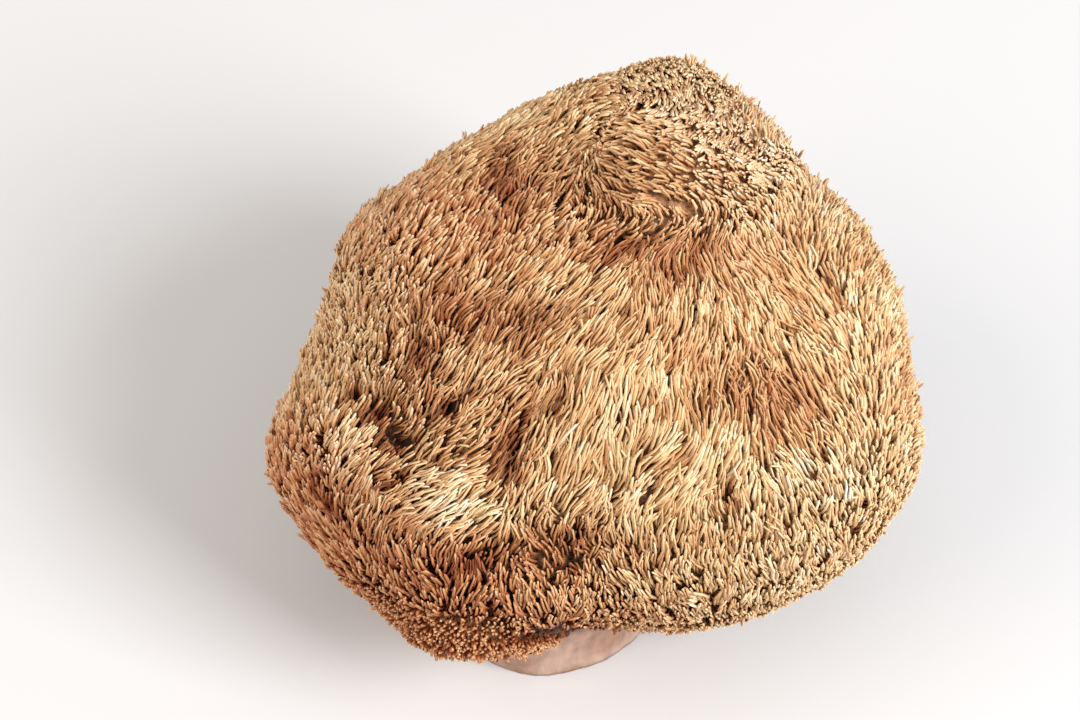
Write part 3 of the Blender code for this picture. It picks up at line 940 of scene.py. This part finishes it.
def make_spines():
    """The spines, as a mesh for each sector around the cushion, with as many triangles each."""
    rng = np.random.default_rng(SEED)
    groups = grow(spine_ways(rng), rng)
    roots = np.concatenate([group["rows"][0] for _, group in groups])
    cost = np.concatenate([
        np.full(len(group["width"]), SIDES * (2 * len(rings) - 1) + 1) for rings, group in groups
    ])
    azimuth = np.mod(np.arctan2(roots[:, 1], roots[:, 0]) + FIRST_SECTOR, 2 * math.pi)
    order = np.argsort(azimuth, kind="stable")
    sector = np.empty(len(order), int)
    sector[order] = np.cumsum(cost[order]) * len(SECTORS) // (cost.sum() + 1)
    ends_of_groups = np.cumsum([len(group["width"]) for _, group in groups])[:-1]
    material = spine_material()
    for number, name in enumerate(SECTORS):
        parts = []
        for (rings, group), mine in zip(groups, np.split(sector == number, ends_of_groups)):
            part = {key: group[key][mine] for key in ("width", "tone", "red", "tip")}
            part.update({key: group[key][:, mine] for key in ("rows", "along")})
            parts.append({**part, "rings": rings})
        link_piece("spines_" + name, spine_mesh("spines_" + name, parts), material)


def flesh_ways():
    """Rows of directions around the flesh, from the cut up to the top of the cushion.

    The second result says how far out each lies: 1 at the edge of the cut.
    """
    azimuth = np.arange(FLESH_AROUND) / FLESH_AROUND * 2 * math.pi
    edge = np.arctan2(stub_reach(azimuth), CENTRE_HEIGHT)
    inner = np.linspace(0, 1, CUT_ROWS + 1)[1:, None] * edge
    low_steps = np.linspace(0, STUB_PART, STUB_ROWS + 1)[1:]
    steps = np.concatenate((low_steps, np.linspace(STUB_PART, 1, CUSHION_ROWS + 2)[1:-1]))
    outer = edge + steps[:, None] * (math.pi - edge)
    drop = np.concatenate((inner, outer))
    ways = np.stack((
        np.sin(drop) * np.cos(azimuth), np.sin(drop) * np.sin(azimuth), -np.cos(drop)
    ), axis=2)
    return ways.reshape(-1, 3), (drop / edge).ravel()


def make_flesh():
    """The cushion under the spines, with the bare stub and its flat cut."""
    ways, outwards = flesh_ways()
    level = surface(ways)
    grain = lip(level)
    bare = 1 - spine_share(ways)
    holes = hollow_dip(surface(ways, FLESH_DEPTH + HOLE_DEPTH))
    dark = np.maximum(holes, hollow_dip(level))
    low = lower_left(level) * (1 - grain) * frontness(level)
    raised = sum(height * near_spot(level, *spot) for height, *spot in RAISED_FLESH) + 0.8 * grain
    sunk = FLESH_DEPTH + 0.5 * holes + low + top_dip(level) - np.minimum(raised, MOST_RAISED)
    points = surface(ways, sunk)
    fibre = sum(height * soft_noise(points * stretch, *noise) for height, stretch, *noise in FIBRES)
    fibre = fibre * bare * np.clip(outwards, 0, 1) ** 4
    points += fibre[:, None] * unit(points * (1, 1, 0))
    uneven = UNEVENNESS * soft_noise(points, 1.8, 33) * (1 - bare) * (1 - 0.6 * grain)
    points += uneven[:, None] * unit(points)
    bottom = (0, 0, -CENTRE_HEIGHT)
    top = surface(np.array([[0, 0, 1.0]]), sunk=FLESH_DEPTH)[0]
    points = to_metres(np.concatenate((points, (bottom, top))))

    number = np.arange(len(ways)).reshape(-1, FLESH_AROUND)
    beside = np.roll(number, -1, axis=1)
    quads = np.stack((number[:-1], number[1:], beside[1:], beside[:-1]), axis=2).reshape(-1, 4)
    cut = np.column_stack((np.full(FLESH_AROUND, len(ways)), number[0], beside[0]))
    crown = np.column_stack((np.full(FLESH_AROUND, len(ways) + 1), beside[-1], number[-1]))
    fans = np.stack((cut, crown), axis=1).reshape(-1, 3)
    mesh = mesh_from("flesh", points, (quads, fans))
    add_attribute(mesh, "bare", np.append(bare, (1, 0)))
    # hole: where the flesh gets painted shade, in the holes and in the lower-left gaps
    add_attribute(mesh, "hole", np.clip(np.append(3 * dark + 0.9 * low, (0, 0)), 0, 1))
    flesh = link_piece("flesh", mesh, flesh_material())
    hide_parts("fruiting_body")


class Nodes:
    """Adds shader nodes to a material and links them."""

    def __init__(self, name):
        self.material = bpy.data.materials.new(name)
        self.material.use_nodes = True
        self.tree = self.material.node_tree
        self.shader = self.tree.nodes["Principled BSDF"]

    def add(self, kind, **settings):
        """A new node with these settings."""
        node = self.tree.nodes.new(kind)
        for key, value in settings.items():
            setattr(node, key, value)
        return node

    def link(self, source, target):
        """Links a socket to another."""
        self.tree.links.new(source, target)

    def attribute(self, name):
        """A number that the mesh holds at its vertices."""
        return self.add("ShaderNodeAttribute", attribute_name=name).outputs["Fac"]

    def mix(self, factor, a, b, blend="MIX"):
        """Colour a towards colour b. The colours and the factor are sockets or plain values."""
        node = self.add("ShaderNodeMix", data_type="RGBA", blend_type=blend)
        for socket, value in ((node.inputs[0], factor), (node.inputs[6], a), (node.inputs[7], b)):
            if hasattr(value, "links"):
                self.link(value, socket)
            else:
                socket.default_value = value
        return node.outputs[2]

    def ramp(self, source, *stops):
        """A colour ramp over the source, from (place, colour) stops."""
        node = self.add("ShaderNodeValToRGB")
        ramp = node.color_ramp
        while len(ramp.elements) < len(stops):
            ramp.elements.new(0.5)
        for element, (place, colour) in zip(ramp.elements, stops):
            element.position = place
            element.color = (*colour, 1)
        self.link(source, node.inputs["Fac"])
        return node.outputs["Color"]

    def noise(self, scale, detail=3.0, stretch=(1, 1, 1)):
        """Noise over the object's own coordinates, in metres."""
        place = self.add("ShaderNodeTexCoord")
        mapping = self.add("ShaderNodeMapping")
        mapping.inputs["Scale"].default_value = stretch
        node = self.add("ShaderNodeTexNoise")
        node.inputs["Scale"].default_value = scale
        node.inputs["Detail"].default_value = detail
        self.link(place.outputs["Object"], mapping.inputs["Vector"])
        self.link(mapping.outputs["Vector"], node.inputs["Vector"])
        return node.outputs["Fac"]

    def bump(self, height, distance, strength):
        """Bumps on the surface, from a height and the distance in metres that it spans."""
        node = self.add("ShaderNodeBump")
        node.inputs["Distance"].default_value = distance
        node.inputs["Strength"].default_value = strength
        self.link(height, node.inputs["Height"])
        self.link(node.outputs["Normal"], self.shader.inputs["Normal"])

    def paint(self, colour, roughness):
        """Sets the colour of the surface, from a socket or a colour, and its roughness."""
        if hasattr(colour, "links"):
            self.link(colour, self.shader.inputs["Base Color"])
        else:
            self.shader.inputs["Base Color"].default_value = (*colour, 1)
        self.shader.inputs["Roughness"].default_value = roughness


def spine_material():
    """Golden tan, darker and redder in patches, dark at the roots, and pale at the tips; the
    patches, the dark roots and the pale tips are partly painted light and shade.
    """
    nodes = Nodes("dried_spines")
    tone = nodes.ramp(
        nodes.attribute("tone"),
        (0.0, DEEP_BROWN), (0.25, BROWN), (0.52, TAN), (0.78, PALE), (1.0, CREAM),
    )
    # Redder spines: partly their own rusty brown, partly a painted warm shade on the left and lower
    # left
    redness = nodes.ramp(nodes.attribute("red"), (0.0, BLACK), (1.0, MOST_RUST_AND_WARM_SHADE))
    warm = nodes.mix(redness, tone, (*RUST_AND_WARM_SHADE, 1))
    mottle = nodes.ramp(nodes.noise(900.0), (0.3, SPINE_MOTTLE), (0.7, WHITE))
    mottled = nodes.mix(0.7, warm, mottle, "MULTIPLY")
    # Darker towards the root: painted shade deep among the spines, partly their own darker roots;
    # warmer and deeper where the spines are redder
    along = nodes.attribute("along")
    light_roots = nodes.ramp(along, (0.0, ROOT_SHADE), (0.5, MIDDLE_SHADE), (0.85, WHITE))
    red_roots = nodes.ramp(
        along,
        (0.0, RED_ROOT_SHADE), (0.5, RED_MIDDLE_SHADE), (0.9, RED_END_SHADE),
    )
    depth = nodes.mix(nodes.attribute("red"), light_roots, red_roots)
    colour = nodes.mix(1.0, mottled, depth, "MULTIPLY")
    # Pale tips: their own paler ends, and the painted highlight on them
    near_tip = nodes.ramp(along, (0.86, BLACK), (0.96, WHITE))
    tip = nodes.mix(1.0, near_tip, nodes.attribute("tip"), "MULTIPLY")
    nodes.paint(nodes.mix(tip, colour, (*CREAM, 1)), 0.58)
    nodes.shader.inputs["Specular IOR Level"].default_value = 0.35
    nodes.bump(nodes.noise(2600.0, 2.0), 0.00006, 0.5)
    return nodes.material


def flesh_material():
    """Brown flesh between the spines, near black with painted shade in the holes, and pale fibrous
    flesh on the bare stub, darkened partway with painted shade.
    """
    nodes = Nodes("dried_flesh")
    fibres = nodes.noise(520.0, 5.0, (1, 1, 0.22))
    stub = nodes.ramp(fibres, (0.3, STUB_DARK), (0.5, STUB_COLOUR), (0.7, STUB_LIGHT))
    blotches = nodes.ramp(nodes.noise(150.0, 4.0), (0.38, STUB_BLOTCH), (0.6, WHITE))
    stub = nodes.mix(0.9, stub, blotches, "MULTIPLY")
    brown = nodes.ramp(nodes.noise(1100.0), (0.35, FLESH_DARK), (0.65, FLESH_LIGHT))
    # Painted shade: the flesh is near black in the holes
    brown = nodes.mix(nodes.attribute("hole"), brown, (*PAINTED_HOLE_SHADE, 1))
    nodes.paint(nodes.mix(nodes.attribute("bare"), brown, stub), 0.8)
    height = nodes.mix(nodes.attribute("bare"), nodes.noise(1600.0), fibres)
    nodes.bump(height, 0.0005, 0.7)
    return nodes.material


def make_floor():
    """A plain pale floor."""
    half = FLOOR_HALF
    corners = [(-half, -half, 0), (half, -half, 0), (half, half, 0), (-half, half, 0)]
    mesh = bpy.data.meshes.new("floor")
    mesh.from_pydata(corners, [], [(0, 1, 2, 3)])
    nodes = Nodes("floor")
    nodes.paint(FLOOR_COLOUR, 0.9)
    mesh.materials.append(nodes.material)
    floor = bpy.data.objects.new("floor", mesh)
    bpy.context.scene.collection.objects.link(floor)


def face_point(x, y, z):
    """A point given in the frame of the face, in metres in the row frame."""
    return to_metres(to_row(np.array([[x, y, z]], float))[0])


def make_light():
    """A soft key light from the picture's upper right, a warm fill and an even pale surround."""
    middle = face_point(0, 0, 0)
    for name, place, size, watts, colour in LIGHTS:
        light = bpy.data.lights.new(name, "AREA")
        light.size = size
        light.color = colour
        light.energy = watts
        lamp = bpy.data.objects.new(name, light)
        bpy.context.scene.collection.objects.link(lamp)
        lamp.location = face_point(*place)
        way = Vector(middle - face_point(*place))
        lamp.rotation_euler = way.to_track_quat("-Z", "Y").to_euler()
    world = bpy.data.worlds.new("surround")
    world.use_nodes = True
    background = world.node_tree.nodes["Background"]
    background.inputs["Color"].default_value = (*WHITE, 1)
    background.inputs["Strength"].default_value = SURROUND_STRENGTH
    bpy.context.scene.world = world


def make_camera():
    """A short telephoto that looks squarely at the face."""
    data = bpy.data.cameras.new("camera")
    data.lens = LENS
    data.sensor_width = SENSOR_WIDTH
    data.clip_start = 0.01
    camera = bpy.data.objects.new("camera", data)
    bpy.context.scene.collection.objects.link(camera)
    camera.location = face_point(*CAMERA_OFFSET, CAMERA_DISTANCE)
    camera.rotation_euler = (math.pi / 2 - FACE_TILT, 0, 0)
    bpy.context.scene.camera = camera


make_camera()
make_floor()
make_light()
make_flesh()
make_spines()
bpy.context.scene.view_settings.view_transform = "Standard"
